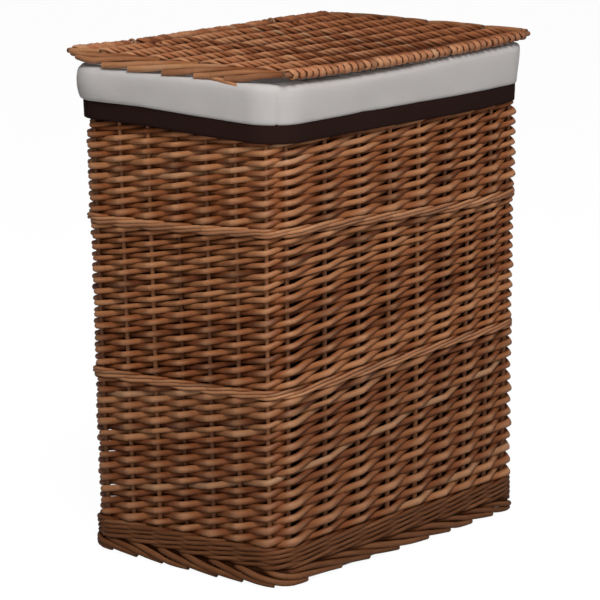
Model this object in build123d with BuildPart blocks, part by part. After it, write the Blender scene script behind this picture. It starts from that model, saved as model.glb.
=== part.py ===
"""Woven willow laundry basket with a hinged lid and a folded-over cotton liner.

The basket stands on the floor at Z = 0, its middle on the Z axis. X runs along its length, the front
faces -Y, and the lid turns on its back stick, at the +Y side. All sizes are in millimetres.
"""

import os
from math import atan, cos, degrees, radians, sin

from build123d import *

# Driving dimensions of the basket's walls, measured to the outer face of the weave
foot_length = 428.0
foot_depth = 270.0
foot_corner = 27.0
wall = 18.0
rim_height = 540.0
rim_growth = 8.0
lean = degrees(atan(rim_growth / rim_height))

# Heights at which one band of weaving ends and the next begins
foot_top = 15.0
bottom_wale_top = 38.0
lower_wale_low = 206.0
lower_wale_top = 218.0
upper_wale_low = 367.0
upper_wale_top = 379.0
rim_low = 520.0

# Upright stakes: their number between the corners, and the drift of the front ones to the right
stake_radius = 3.0
stake_clearance = 0.15
stake_end_gap = 0.2
long_side_stakes = 7
short_side_stakes = 5
corner_stake_turn = 29.0
front_drift = 26.0

# Hollows between the ribs of the weave: it stands proud at each stake or stick and dips half way to the next
wall_hollow = 5.5
wall_rib = 10.0
lid_hollow = 3.5
lid_rib = 8.0

# Foot and rim borders
foot_inset = 1.0
foot_ledge = 26.0
foot_round = 4.0
rim_flare_low = 3.0
rim_flare_top = 5.4
rim_inside = 21.0
rim_round = 4.0

# Base of square work
base_thickness = 14.0
base_gap = 0.5
base_stick_radius = 4.0
base_stick_count = 7
base_stick_pitch = 32.0

# Cotton liner
cloth = 1.2
bag_offset = 22.5
bag_floor_gap = 0.5
hem_low = 478.0
hem_top = 498.0
hem_cloth = 1.7
skirt_gap = 1.0
cuff_flare = 6.0

# Lid of square work: its weave wraps round a thick stick at the front and another at the back
lid_length = 448.0
lid_depth = 308.0
lid_thickness = 15.0
lid_gap = 0.4
lid_end_width = 14.0
lid_end_swell = 0.8
outer_stick_radius = 3.5
inner_stick_radius = 3.0
inner_stick_count = 7
stick_clearance = 0.1
stick_overhang = 2.0

# Hinge: two cane loops round the lid's back stick and the outer strand of the rim
hinge_spacing = 240.0
hinge_y = 146.5
cane_radius = 1.7
cane_clearance = 0.06
loop_drop = 32.0
loop_room = 0.6
lid_notch_radius = 12.0
lid_notch_width = 12.0
liner_slit_width = 10.0

# Places worked out from the driving dimensions
lid_low = rim_height + cloth + lid_gap
hinge_z = lid_low + lid_thickness / 2
loop_radius = outer_stick_radius + cane_clearance + cane_radius
slit_reach = loop_radius + cane_radius + 2 * loop_room
front_stick_y = hinge_y - (lid_depth - lid_thickness)
hinge_places = (-hinge_spacing / 2, hinge_spacing / 2)
rim_flare = degrees(atan((rim_flare_top - rim_flare_low) / (rim_height - rim_low) + rim_growth / rim_height))
cuff_slope = degrees(atan((cuff_flare - skirt_gap) / (rim_height - hem_top) + rim_growth / rim_height))


def outline(z, offset):
    """The basket's rounded outline at height z, moved out from the weave's face by offset."""
    grow = rim_growth * z / rim_height + offset
    RectangleRounded(foot_length + 2 * grow, foot_depth + 2 * grow, foot_corner + grow)


def stake_plane(x, y):
    """The plane at a stake's lower end, whose normal runs up along the leaning wall."""
    up_lean = Vector(
        rim_growth * x / (foot_length / 2 - wall / 2),
        rim_growth * y / (foot_depth / 2 - wall / 2),
        rim_height,
    )
    start = Vector(x, y, 0) + up_lean * ((foot_top + stake_end_gap) / rim_height)
    return Plane(origin=start, x_dir=(1, 0, 0), z_dir=up_lean)


def side_places(count, reach):
    """Even places of a side's middle stakes, between its two corner stakes at plus and minus reach."""
    step = 2 * reach / (count + 1)
    return [step * (i + 1) - reach for i in range(count)]


# Stake places at the floor, on the middle line of the wall
arc_x = foot_length / 2 - foot_corner
arc_y = foot_depth / 2 - foot_corner
arc_radius = foot_corner - wall / 2
near_turn = radians(45 - corner_stake_turn)
far_turn = radians(45 + corner_stake_turn)
long_reach = arc_x + arc_radius * cos(far_turn)
short_reach = arc_y + arc_radius * sin(near_turn)
long_corner_y = arc_y + arc_radius * sin(far_turn)
short_corner_x = arc_x + arc_radius * cos(near_turn)
wall_x = foot_length / 2 - wall / 2
wall_y = foot_depth / 2 - wall / 2

even_places = side_places(long_side_stakes, long_reach)
front_places = [x + front_drift * (1 - (x / long_reach) ** 2) for x in even_places]
side_ys = side_places(short_side_stakes, short_reach)
stake_places = {
    "front_stakes": [(x, -wall_y) for x in front_places],
    "back_stakes": [(x, wall_y) for x in even_places],
    "left_stakes": [(-wall_x, y) for y in side_ys],
    "right_stakes": [(wall_x, y) for y in side_ys],
    "corner_stakes": [
        (side_x * x, side_y * y)
        for side_x in (-1, 1)
        for side_y in (-1, 1)
        for x, y in ((long_reach, long_corner_y), (short_corner_x, short_reach))
    ],
}
stake_length = rim_low - foot_top - 2 * stake_end_gap
all_stake_planes = [stake_plane(x, y) for places in stake_places.values() for x, y in places]


def hollow_radius(width, depth):
    """The radius of a round hollow, from its width and depth."""
    return width**2 / (8 * depth) + depth / 2


# Hollows of the walls: the radius of each, and the leaning plane that it is cut from
wall_hollows = []
for out, reach, places in (
    (Vector(0, -1, 0), long_reach, front_places),
    (Vector(0, 1, 0), long_reach, even_places),
    (Vector(-1, 0, 0), short_reach, side_ys),
    (Vector(1, 0, 0), short_reach, side_ys),
):
    row = [-reach, *places, reach]
    for here, ahead in zip(row, row[1:]):
        radius = hollow_radius(ahead - here - wall_rib, wall_hollow)
        half_way = (here + ahead) / 2
        base_plane = stake_plane(
            out.X * wall_x + abs(out.Y) * half_way,
            out.Y * wall_y + abs(out.X) * half_way,
        )
        cut_from = base_plane.origin + out * (wall / 2 - wall_hollow + radius)
        wall_hollows.append((radius, Plane(origin=cut_from, x_dir=(1, 0, 0), z_dir=base_plane.z_dir)))


def finish(piece, name):
    """Labels a finished piece and writes it as its own file."""
    piece.part.label = name
    export_step(piece.part, f"parts/{name}.step")


def woven_band(low, high, hollows=()):
    """One band of the wall between two heights, with a channel for every stake and any hollows between."""
    with BuildPart() as band:
        with BuildSketch(Plane.XY.offset(low)):
            outline(low, 0)
        extrude(amount=high - low, taper=-lean)
        with BuildSketch(Plane.XY.offset(low)):
            outline(low, -wall)
        extrude(amount=high - low, taper=-lean, mode=Mode.SUBTRACT)
        with Locations(*all_stake_planes):
            Cylinder(
                stake_radius + stake_clearance,
                rim_height,
                align=(Align.CENTER, Align.CENTER, Align.MIN),
                mode=Mode.SUBTRACT,
            )
        for radius, plane in hollows:
            with Locations(plane):
                Cylinder(
                    radius,
                    rim_height,
                    align=(Align.CENTER, Align.CENTER, Align.MIN),
                    mode=Mode.SUBTRACT,
                )
    return band


def hinge_slits(low):
    """Cuts the two slits that let the hinge loops through the liner, from a height upwards."""
    with Locations(*[(x, hinge_y, low) for x in hinge_places]):
        Box(
            liner_slit_width,
            2 * slit_reach,
            lid_low - low,
            align=(Align.CENTER, Align.CENTER, Align.MIN),
            mode=Mode.SUBTRACT,
        )


os.makedirs("parts", exist_ok=True)

# Foot border: the ring that the basket stands on, with a ledge inside for the base
with BuildPart() as foot_border:
    with BuildSketch():
        outline(0, -foot_inset)
    extrude(amount=foot_top, taper=-lean)
    with BuildSketch():
        outline(0, -foot_ledge)
    extrude(amount=foot_top, taper=-lean, mode=Mode.SUBTRACT)
    bottom_loop = foot_border.faces().sort_by(Axis.Z)[0].outer_wire().edges()
    fillet(bottom_loop, radius=foot_round)
finish(foot_border, "foot_border")

# Base: sticks along the length, held in a woven panel
with BuildPart() as base_sticks:
    stick_z = foot_top + base_thickness / 2
    base_stick_length = foot_length - 2 * (wall + base_gap + stick_overhang)
    with Locations((0, 0, stick_z)):
        with GridLocations(0, base_stick_pitch, 1, base_stick_count):
            Cylinder(base_stick_radius, base_stick_length, rotation=(0, 90, 0))
finish(base_sticks, "base_sticks")

with BuildPart() as base_weave:
    with BuildSketch(Plane.XY.offset(foot_top)):
        outline(foot_top, -wall - base_gap)
    extrude(amount=base_thickness, taper=-lean)
    with Locations((0, 0, stick_z)):
        with GridLocations(0, base_stick_pitch, 1, base_stick_count):
            Cylinder(
                base_stick_radius + stick_clearance,
                foot_length,
                rotation=(0, 90, 0),
                mode=Mode.SUBTRACT,
            )
finish(base_weave, "base_weave")

# Stakes: one node for each wall and one for the corner pairs, every stake its own solid
for node, places in stake_places.items():
    with BuildPart() as stakes:
        with Locations(*[stake_plane(x, y) for x, y in places]):
            Cylinder(stake_radius, stake_length, align=(Align.CENTER, Align.CENTER, Align.MIN))
    finish(stakes, node)

# Walls: close waling at the bottom and between the three bands of randing, which have the hollows
wall_bands = {
    "bottom_wale": (foot_top, bottom_wale_top, ()),
    "lower_weave": (bottom_wale_top, lower_wale_low, wall_hollows),
    "lower_wale": (lower_wale_low, lower_wale_top, ()),
    "middle_weave": (lower_wale_top, upper_wale_low, wall_hollows),
    "upper_wale": (upper_wale_low, upper_wale_top, ()),
}
for node, (low, high, hollows) in wall_bands.items():
    finish(woven_band(low, high, hollows), node)

# The top band is notched where the hinge loops come round under the rim
loop_low = hinge_z - loop_drop - loop_radius - cane_radius - loop_room
slot_inner_y = hinge_y - loop_radius - cane_radius - loop_room
slot_outer_y = hinge_y - loop_radius + cane_radius + loop_room
slot_width = 2 * (cane_radius + loop_room)
with BuildPart() as upper_weave:
    add(woven_band(upper_wale_top, rim_low, wall_hollows).part)
    with Locations(*[(x, slot_inner_y, rim_low) for x in hinge_places]):
        Box(
            slot_width,
            wall,
            rim_low - loop_low,
            align=(Align.CENTER, Align.MIN, Align.MAX),
            mode=Mode.SUBTRACT,
        )
finish(upper_weave, "upper_weave")

# Rim border: wider than the wall, with a slot for each hinge loop
with BuildPart() as rim_border:
    with BuildSketch(Plane.XY.offset(rim_low)):
        outline(rim_low, rim_flare_low)
    extrude(amount=rim_height - rim_low, taper=-rim_flare)
    with BuildSketch(Plane.XY.offset(rim_low)):
        outline(rim_low, -rim_inside)
    extrude(amount=rim_height - rim_low, taper=-lean, mode=Mode.SUBTRACT)
    fillet(rim_border.edges().group_by(Axis.Z)[-1], radius=rim_round)
    with Locations(*[(x, (slot_inner_y + slot_outer_y) / 2, rim_low) for x in hinge_places]):
        Box(
            slot_width,
            slot_outer_y - slot_inner_y,
            2 * (rim_height - rim_low),
            align=(Align.CENTER, Align.CENTER, Align.CENTER),
            mode=Mode.SUBTRACT,
        )
finish(rim_border, "rim_border")

# Hinge loops: a closed ring of cane, long enough to hold the rim's outer strand and the lid's back stick
for side, x in zip(("left", "right"), hinge_places):
    with BuildPart() as hinge_loop:
        with BuildLine(Plane((x, hinge_y, hinge_z), x_dir=(0, 1, 0), z_dir=(1, 0, 0))) as ring:
            over = CenterArc((0, 0), loop_radius, 0, 180)
            under = CenterArc((0, -loop_drop), loop_radius, 180, 180)
            Line(over @ 1, under @ 0)
            Line(under @ 1, over @ 0)
        with BuildSketch(Plane(origin=ring.line @ 0, z_dir=ring.line % 0)):
            Circle(cane_radius)
        sweep(path=ring.line)
    finish(hinge_loop, f"hinge_loop_{side}")

# Liner bag: hangs inside the walls and folds over the rim
with BuildPart() as liner_bag:
    bag_low = foot_top + base_thickness + bag_floor_gap
    with BuildSketch(Plane.XY.offset(bag_low)):
        outline(bag_low, -bag_offset)
    extrude(amount=rim_height + cloth - bag_low, taper=-lean)
    with BuildSketch(Plane.XY.offset(rim_height)):
        outline(rim_height, cuff_flare + cloth)
    extrude(amount=cloth)
    with BuildSketch(Plane.XY.offset(bag_low + cloth)):
        outline(bag_low + cloth, -bag_offset - cloth)
    extrude(amount=rim_height, taper=-lean, mode=Mode.SUBTRACT)
    hinge_slits(rim_low)
finish(liner_bag, "liner_bag")

# Liner cuff: the white skirt outside, flaring over the rim border
with BuildPart() as liner_cuff:
    with BuildSketch(Plane.XY.offset(hem_top)):
        outline(hem_top, skirt_gap + cloth)
    extrude(amount=rim_height - hem_top, taper=-cuff_slope)
    with BuildSketch(Plane.XY.offset(hem_top)):
        outline(hem_top, skirt_gap)
    extrude(amount=rim_height - hem_top, taper=-cuff_slope, mode=Mode.SUBTRACT)
    hinge_slits(loop_low - loop_room)
finish(liner_cuff, "liner_cuff")

# Hem band: the dark band sewn round the cuff's lower edge
with BuildPart() as hem_band:
    with BuildSketch(Plane.XY.offset(hem_low)):
        outline(hem_low, skirt_gap + hem_cloth)
    extrude(amount=hem_top - hem_low, taper=-lean)
    with BuildSketch(Plane.XY.offset(hem_low)):
        outline(hem_low, skirt_gap)
    extrude(amount=hem_top - hem_low, taper=-lean, mode=Mode.SUBTRACT)
finish(hem_band, "hem_band")

# Lid sticks: a thick one at the front, the hinge stick at the back, and the inner ones between
stick_length = lid_length + 2 * stick_overhang
inner_pitch = (hinge_y - front_stick_y) / (inner_stick_count + 1)
inner_stick_ys = [front_stick_y + inner_pitch * (i + 1) for i in range(inner_stick_count)]
with BuildPart() as lid_front_stick:
    with Locations((0, front_stick_y, hinge_z)):
        Cylinder(outer_stick_radius, stick_length, rotation=(0, 90, 0))
finish(lid_front_stick, "lid_front_stick")

with BuildPart() as lid_back_stick:
    with Locations((0, hinge_y, hinge_z)):
        Cylinder(outer_stick_radius, stick_length, rotation=(0, 90, 0))
finish(lid_back_stick, "lid_back_stick")

with BuildPart() as lid_inner_sticks:
    with Locations(*[(0, y, hinge_z) for y in inner_stick_ys]):
        Cylinder(inner_stick_radius, stick_length, rotation=(0, 90, 0))
finish(lid_inner_sticks, "lid_inner_sticks")


def lid_panel(low_x, high_x, thickness, hollow_places=()):
    """A stretch of the lid's weave along X, with rounded long edges and a channel for every stick.

    At each of the hollow places along Y, the weave dips on top and underneath.
    """
    with BuildPart() as panel:
        middle_y = (hinge_y + front_stick_y) / 2
        with BuildSketch(Plane((low_x, middle_y, hinge_z), x_dir=(0, 1, 0), z_dir=(1, 0, 0))):
            SlotCenterToCenter(hinge_y - front_stick_y, thickness)
        extrude(amount=high_x - low_x)
        with Locations((0, front_stick_y, hinge_z), (0, hinge_y, hinge_z)):
            Cylinder(
                outer_stick_radius + stick_clearance,
                2 * lid_length,
                rotation=(0, 90, 0),
                mode=Mode.SUBTRACT,
            )
        with Locations(*[(0, y, hinge_z) for y in inner_stick_ys]):
            Cylinder(
                inner_stick_radius + stick_clearance,
                2 * lid_length,
                rotation=(0, 90, 0),
                mode=Mode.SUBTRACT,
            )
        with Locations(*[(x, hinge_y, hinge_z) for x in hinge_places]):
            Cylinder(lid_notch_radius, lid_notch_width, rotation=(0, 90, 0), mode=Mode.SUBTRACT)
        radius = hollow_radius(inner_pitch - lid_rib, lid_hollow)
        rise = thickness / 2 - lid_hollow + radius
        for y in hollow_places:
            with Locations((0, y, hinge_z + rise), (0, y, hinge_z - rise)):
                Cylinder(radius, 2 * lid_length, rotation=(0, 90, 0), mode=Mode.SUBTRACT)
    return panel


# Lid weave, and the twined rows that lock it at both ends
weave_end = lid_length / 2 - lid_end_width
lid_hollow_ys = [front_stick_y + inner_pitch * (i + 0.5) for i in range(inner_stick_count + 1)]
finish(lid_panel(-weave_end, weave_end, lid_thickness, lid_hollow_ys), "lid_weave")
end_thickness = lid_thickness - lid_end_swell
finish(lid_panel(-lid_length / 2, -weave_end, end_thickness), "lid_left_pairing")
finish(lid_panel(weave_end, lid_length / 2, end_thickness), "lid_right_pairing")
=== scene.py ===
"""Dresses the woven willow laundry basket: every rod of its weave, its cotton liner, its lid and its hinge.

Lengths are in metres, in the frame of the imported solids: X runs along the basket, its front faces -Y and
the lid turns at the back, on the +Y side.
"""

import logging
import math
import random
from dataclasses import dataclass, field
from enum import Enum
from typing import Any, Callable, Optional, Sequence

import bmesh
import bpy
import numpy as np
from mathutils import Matrix, Quaternion, Vector, noise


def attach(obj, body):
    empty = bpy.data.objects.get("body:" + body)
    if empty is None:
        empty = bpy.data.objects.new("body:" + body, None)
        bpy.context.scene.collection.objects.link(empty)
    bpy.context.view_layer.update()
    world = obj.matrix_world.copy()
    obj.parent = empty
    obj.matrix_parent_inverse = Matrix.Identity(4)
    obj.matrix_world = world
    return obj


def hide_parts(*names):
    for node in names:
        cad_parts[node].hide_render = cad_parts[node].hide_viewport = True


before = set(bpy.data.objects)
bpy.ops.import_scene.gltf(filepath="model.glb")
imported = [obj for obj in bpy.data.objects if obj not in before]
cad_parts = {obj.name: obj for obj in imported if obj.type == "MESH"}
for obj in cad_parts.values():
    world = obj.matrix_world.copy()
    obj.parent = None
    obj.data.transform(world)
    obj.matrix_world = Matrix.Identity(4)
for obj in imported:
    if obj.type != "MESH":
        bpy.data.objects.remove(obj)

Colour = tuple[float, float, float]
Place = tuple[float, float, float]
Ripple = Callable[[float, float, float], tuple[float, float]]
MM = 0.001
UP = Vector((0, 0, 1))
ALONG = Vector((1, 0, 0))
HINGE_X = 120 * MM
NOISE_SEED = 12
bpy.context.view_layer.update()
LOG = logging.getLogger("laundry_basket")


class Wire:
    """A shader socket whose arithmetic adds Math nodes to its material."""

    def __init__(self, shop: "Shop", socket: bpy.types.NodeSocket) -> None:
        """Keeps the socket and the material that it belongs to."""
        self.shop = shop
        self.socket = socket

    def math(self, operation: str, first: Any, second: Any = 0.0) -> "Wire":
        """Adds one Math node.

        Args:
            operation: The node's operation.
            first: The first number or wire.
            second: The second number or wire, where the operation takes one.

        Returns:
            The node's value.
        """
        node = self.shop.node("Math", {"operation": operation}, {0: first, 1: second})
        return Wire(self.shop, node.outputs[0])

    def __add__(self, other: Any) -> "Wire":
        """The sum."""
        return self.math("ADD", self, other)

    def __radd__(self, other: Any) -> "Wire":
        """The sum, with a number in front."""
        return self.math("ADD", other, self)

    def __sub__(self, other: Any) -> "Wire":
        """The difference."""
        return self.math("SUBTRACT", self, other)

    def __rsub__(self, other: Any) -> "Wire":
        """The difference, with a number in front."""
        return self.math("SUBTRACT", other, self)

    def __mul__(self, other: Any) -> "Wire":
        """The product."""
        return self.math("MULTIPLY", self, other)

    def __rmul__(self, other: Any) -> "Wire":
        """The product, with a number in front."""
        return self.math("MULTIPLY", other, self)

    def __pow__(self, power: float) -> "Wire":
        """The power."""
        return self.math("POWER", self, power)

    def ramp(self, low: float, high: float) -> "Wire":
        """A smooth step from 0 at low to 1 at high, or down where high is the lower."""
        settings = {"interpolation_type": "SMOOTHSTEP"}
        node = self.shop.node("MapRange", settings, {"Value": self, "From Min": low, "From Max": high})
        return Wire(self.shop, node.outputs["Result"])


class Shop:
    """One material in the making: its nodes, and the surface that they feed."""

    def __init__(self, name: str) -> None:
        """Starts a material with a bare Principled surface."""
        self.material = bpy.data.materials.new(name)
        self.material.use_nodes = True
        self.tree = self.material.node_tree
        self.surface = self.tree.nodes["Principled BSDF"]

    def node(
        self, kind: str, settings: Optional[dict] = None, inputs: Optional[dict] = None
    ) -> bpy.types.Node:
        """Adds a node.

        Args:
            kind: The node's type, without the words that all shader node types start with.
            settings: What is set on the node itself; stops are a colour ramp's places and colours.
            inputs: The value, socket or wire of each input, by its name or number.

        Returns:
            The new node.
        """
        made = self.tree.nodes.new("ShaderNode" + kind)
        for key, value in (settings or {}).items():
            if key == "stops":
                self._set_stops(made.color_ramp, value)
            else:
                setattr(made, key, value)
        for key, value in (inputs or {}).items():
            self.feed(made.inputs[key], value)
        return made

    def feed(self, socket: bpy.types.NodeSocket, value: Any) -> None:
        """Links a wire or an output to a socket, or sets a plain value on it."""
        if isinstance(value, Wire):
            value = value.socket
        if isinstance(value, bpy.types.NodeSocket):
            self.tree.links.new(value, socket)
        elif value is not None:
            socket.default_value = value

    @staticmethod
    def _set_stops(ramp: bpy.types.ColorRamp, stops: Sequence[tuple[float, Colour]]) -> None:
        """Gives a colour ramp its stops."""
        while len(ramp.elements) < len(stops):
            ramp.elements.new(1.0)
        for element, (place, colour) in zip(ramp.elements, stops):
            element.position = place
            element.color = (*colour, 1.0)

    def attribute(self, name: str, output: str = "Fac") -> Wire:
        """One of the piece's own attributes."""
        return Wire(self, self.node("Attribute", {"attribute_name": name}).outputs[output])

    def scaled(self, vector: Any, factors: Colour) -> bpy.types.NodeSocket:
        """A vector with each of its parts multiplied."""
        return self.node("VectorMath", {"operation": "MULTIPLY"}, {0: vector, 1: factors}).outputs[0]

    def noise(self, vector: Any, scale: float, detail: float = 2.0, roughness: float = 0.5) -> Wire:
        """Soft noise on a vector."""
        inputs = {"Vector": vector, "Scale": scale, "Detail": detail, "Roughness": roughness}
        return Wire(self, self.node("TexNoise", {}, inputs).outputs[0])

    def mix(self, factor: Any, first: Any, second: Any, blend: str = "MIX") -> bpy.types.NodeSocket:
        """A mix of two colours, each a socket or a plain colour."""
        settings = {"data_type": "RGBA", "blend_type": blend, "clamp_factor": True}
        colours = {6: self._colour(first), 7: self._colour(second)}
        return self.node("Mix", settings, {0: factor, **colours}).outputs[2]

    @staticmethod
    def _colour(value: Any) -> Any:
        """A plain colour with its alpha, or the socket as it is."""
        return (*value, 1.0) if isinstance(value, tuple) else value

    def bump(self, height: Wire, strength: float, distance: float) -> None:
        """Raises the surface by a height."""
        node = self.node("Bump", {}, {"Strength": strength, "Distance": distance, "Height": height})
        self.feed(self.surface.inputs["Normal"], node.outputs[0])

    def set(self, **values: Any) -> None:
        """Sets the surface's own sockets, with underscores for spaces in their names."""
        for key, value in values.items():
            self.feed(self.surface.inputs[key.replace("_", " ")], self._colour(value))


@dataclass(frozen=True)
class WillowFinish:
    """Stained and lacquered willow, with the stain rubbed off where the rods stand proud and painted shade
    where they sink into the weave.
    """

    name: str
    slot: str
    # dark is the darkest stain, and also the colour of the knots and of the painted shade in the recesses.
    dark: Colour = (0.060, 0.014, 0.0032)
    stain: Colour = (0.190, 0.058, 0.018)
    pale: Colour = (0.310, 0.128, 0.052)
    faded: Colour = (0.345, 0.200, 0.115)
    worn: Colour = (0.520, 0.275, 0.145)
    wear: float = 0.62
    # depth is how strongly painted shade darkens a rod where it sinks into the weave; the next two fields
    # set where that painted shade starts and how deep it takes to grow full.
    depth: float = 0.5
    painted_shade_below: float = 0.25
    painted_shade_range: float = 0.8
    fibre_width: float = 0.9 * MM
    fibre_length: float = 18 * MM
    patch_width: float = 6.25 * MM
    patch_length: float = 30 * MM
    knot_pitch: float = 150 * MM
    knot_reach: float = 0.03
    knot_stain: float = 0.2
    lacquer: float = 0.04
    lacquer_roughness: float = 0.34
    gloss: float = 0.16
    relief: float = 0.35 * MM
    relief_strength: float = 0.42

    def material(self) -> bpy.types.Material:
        """The finish as a material on the rods' own attributes."""
        shop = Shop(self.name)
        grain = shop.attribute("grain", "Vector").socket
        tone = shop.attribute("tone")
        proud = shop.attribute("proud")
        fibre_scale = (1 / self.fibre_width, 1 / self.fibre_width, 1 / self.fibre_length)
        patch_scale = (1 / self.patch_width, 1 / self.patch_width, 1 / self.patch_length)
        fibre = shop.noise(shop.scaled(grain, fibre_scale), 1.0, 3.0)
        patch = shop.noise(shop.scaled(grain, patch_scale), 1.0, 2.0)
        knot = self._knots(shop, grain)
        mottle = tone * 0.72 + patch * 0.42 + fibre * 0.22 - 0.20
        stops = [(0.06, self.dark), (0.44, self.stain), (0.74, self.pale), (0.95, self.faded)]
        body = shop.node("ValToRGB", {"stops": stops}, {0: mottle}).outputs[0]
        rubbed = proud.ramp(0.35, 1.0) * (patch * 0.9 + fibre * 0.5 - 0.08) * self.wear
        worn = shop.mix(rubbed, body, self.worn)
        # Painted shade: where a rod sinks into the weave its colour is drawn towards dark, in place of the
        # shade that falls in the recesses, with some stain kept in the hollows.
        recess_shade_mask = proud.ramp(self.painted_shade_below, self.painted_shade_below - self.painted_shade_range)
        shaded = shop.mix(recess_shade_mask * self.depth, worn, self.dark)
        colour = shop.mix(knot * self.knot_stain, shaded, self.dark)
        shop.set(Base_Color=colour, Roughness=0.50 - patch * 0.16 + fibre * 0.10)
        shop.set(Coat_Weight=self.lacquer, Coat_Roughness=self.lacquer_roughness)
        shop.set(Specular_IOR_Level=self.gloss)
        shop.bump(fibre * 0.7 + knot * 0.3 + patch * 0.3, self.relief_strength, self.relief)
        return shop.material

    def _knots(self, shop: Shop, grain: bpy.types.NodeSocket) -> Wire:
        """Where the knots lie along a rod, 1 in their middles."""
        along = Wire(shop, shop.node("SeparateXYZ", {}, {0: grain}).outputs[2])
        inputs = {"W": along * (1 / self.knot_pitch), "Randomness": 1.0}
        knots = shop.node("TexVoronoi", {"voronoi_dimensions": "1D"}, inputs)
        return Wire(shop, knots.outputs["Distance"]).ramp(self.knot_reach, 0.0)


@dataclass(frozen=True)
class CutEndFinish:
    """The rough, matt end of a cut rod."""

    name: str = "cut_willow"
    heart: Colour = (0.045, 0.018, 0.008)
    edge: Colour = (0.16, 0.070, 0.030)

    def material(self) -> bpy.types.Material:
        """The finish as a material."""
        shop = Shop(self.name)
        place = shop.node("TexCoord").outputs["Object"]
        speck = shop.noise(place, 900.0, 2.0)
        shop.set(Base_Color=shop.mix(speck, self.heart, self.edge), Roughness=0.75)
        return shop.material


@dataclass(frozen=True)
class CaneFinish:
    """Split cane for the hinge loops, whose pattern lies on the loop itself."""

    name: str = "hinge_cane"
    dark: Colour = (0.10, 0.035, 0.014)
    pale: Colour = (0.34, 0.16, 0.070)

    def material(self) -> bpy.types.Material:
        """The finish as a material."""
        shop = Shop(self.name)
        place = shop.node("TexCoord").outputs["Object"]
        fibre = shop.noise(shop.scaled(place, (1400.0, 1400.0, 90.0)), 1.0, 3.0)
        shop.set(Base_Color=shop.mix(fibre, self.dark, self.pale), Roughness=0.46 + fibre * 0.1)
        shop.bump(fibre, 0.3, 0.3 * MM)
        return shop.material


@dataclass(frozen=True)
class CottonFinish:
    """Plain-woven cotton with slubs, on the cloth's own map in metres."""

    name: str
    slot: str
    shade: Colour
    light: Colour
    thread: float = 0.75 * MM
    slub: float = 0.35
    sheen: float = 0.15
    gloss: float = 0.25

    def material(self) -> bpy.types.Material:
        """The finish as a material."""
        shop = Shop(self.name)
        flat = shop.node("UVMap", {"uv_map": "UVMap"}).outputs[0]
        turn = 2 * math.pi / self.thread
        parts = shop.node("SeparateXYZ", {}, {0: flat})
        across = Wire(shop, parts.outputs[0])
        down = Wire(shop, parts.outputs[1])
        warp = across.math("SINE", across * turn)
        weft = down.math("SINE", down * turn)
        weave = warp * weft * 0.5 + 0.5
        level_slub = shop.noise(shop.scaled(flat, (45.0, 900.0, 1.0)), 1.0, 2.0)
        upright_slub = shop.noise(shop.scaled(flat, (900.0, 45.0, 1.0)), 1.0, 2.0)
        cloud = shop.noise(flat, 14.0, 2.0)
        slub = (level_slub + upright_slub) * 0.5
        tint = slub * self.slub + cloud * (0.75 - self.slub) + weave * 0.12 - 0.02
        shop.set(Base_Color=shop.mix(tint, self.shade, self.light), Roughness=0.88)
        shop.set(Sheen_Weight=self.sheen, Sheen_Roughness=0.5, Specular_IOR_Level=self.gloss)
        shop.bump(weave * 0.5 + slub * 0.8, 0.35, 0.25 * MM)
        return shop.material


WILLOW = WillowFinish("stained_willow", "woven_willow")
# The lower band's willow: the same colours scaled down by about a fifth, painted shade on the lower wall.
SHADED_LOWER_WILLOW = WillowFinish(
    "lower_willow", "woven_willow", stain=(0.152, 0.046, 0.0148), pale=(0.255, 0.103, 0.041),
    faded=(0.285, 0.163, 0.093), worn=(0.430, 0.226, 0.119),
)
# The foot's willow, for the foot border and the bottom wale: much darker colours, painted shade low on the
# basket where little light reaches.
SHADED_FOOT_WILLOW = WillowFinish(
    "foot_willow", "woven_willow", stain=(0.060, 0.0158, 0.0042), pale=(0.120, 0.041, 0.0150),
    faded=(0.135, 0.068, 0.035), worn=(0.225, 0.102, 0.046), wear=0.45, lacquer=0.0, gloss=0.08,
)
STAKE_WILLOW = WillowFinish(
    "stake_willow", "willow_stake", stain=(0.175, 0.072, 0.034), wear=0.6, depth=0.2,
)
# The lid's willow is paler than the walls', painted light for its top, which faces the lamps above; its
# stronger rub is partly wear and partly painted highlight, and its strong painted shade darkens the slits
# between strokes.
TOP_LIT_LID_WILLOW = WillowFinish(
    "lid_willow", "lid_willow", stain=(0.315, 0.108, 0.042), pale=(0.440, 0.208, 0.103),
    worn=(0.47, 0.25, 0.138), wear=0.75, depth=0.95, painted_shade_below=0.5,
)
END_WILLOW = WillowFinish(
    "end_willow", "lid_willow", stain=(0.180, 0.055, 0.018), worn=(0.46, 0.24, 0.125), wear=0.5,
)
WHITE_COTTON = CottonFinish(
    "white_cotton", "white_cotton", (0.375, 0.350, 0.338), (0.510, 0.483, 0.470), slub=0.5,
)
BROWN_COTTON = CottonFinish(
    "brown_cotton", "brown_cotton", (0.011, 0.0042, 0.0032), (0.026, 0.0105, 0.0080), sheen=0.0, gloss=0.08,
)
_materials: dict[str, bpy.types.Material] = {}


def finished(finish: Any) -> bpy.types.Material:
    """The material of a finish, made once."""
    if finish.name not in _materials:
        _materials[finish.name] = finish.material()
    return _materials[finish.name]


def placed(name: str, data: bpy.types.ID) -> bpy.types.Object:
    """A new object in the scene."""
    made = bpy.data.objects.new(name, data)
    bpy.context.scene.collection.objects.link(made)
    return made


def settle(piece: bpy.types.Object, body: str, *nodes: str) -> None:
    """Lets a piece ride on a body in place of solids, and reports it."""
    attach(piece, body)
    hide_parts(*nodes)
    LOG.info("%s: %d faces, for %s", piece.name, len(piece.data.polygons), ", ".join(nodes))


def share_of(value: float, start: float, run: float) -> float:
    """How far a value is along a run from a start: 0 before it and 1 past its end."""
    return min(max((value - start) / run, 0.0), 1.0)


def stick_points(reach: float, y: float, z: float, steps: int) -> list[Vector]:
    """The points of a straight stick along X, as far on both sides of the middle."""
    return [Vector((reach * (2 * k / steps - 1), y, z)) for k in range(steps + 1)]


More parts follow.
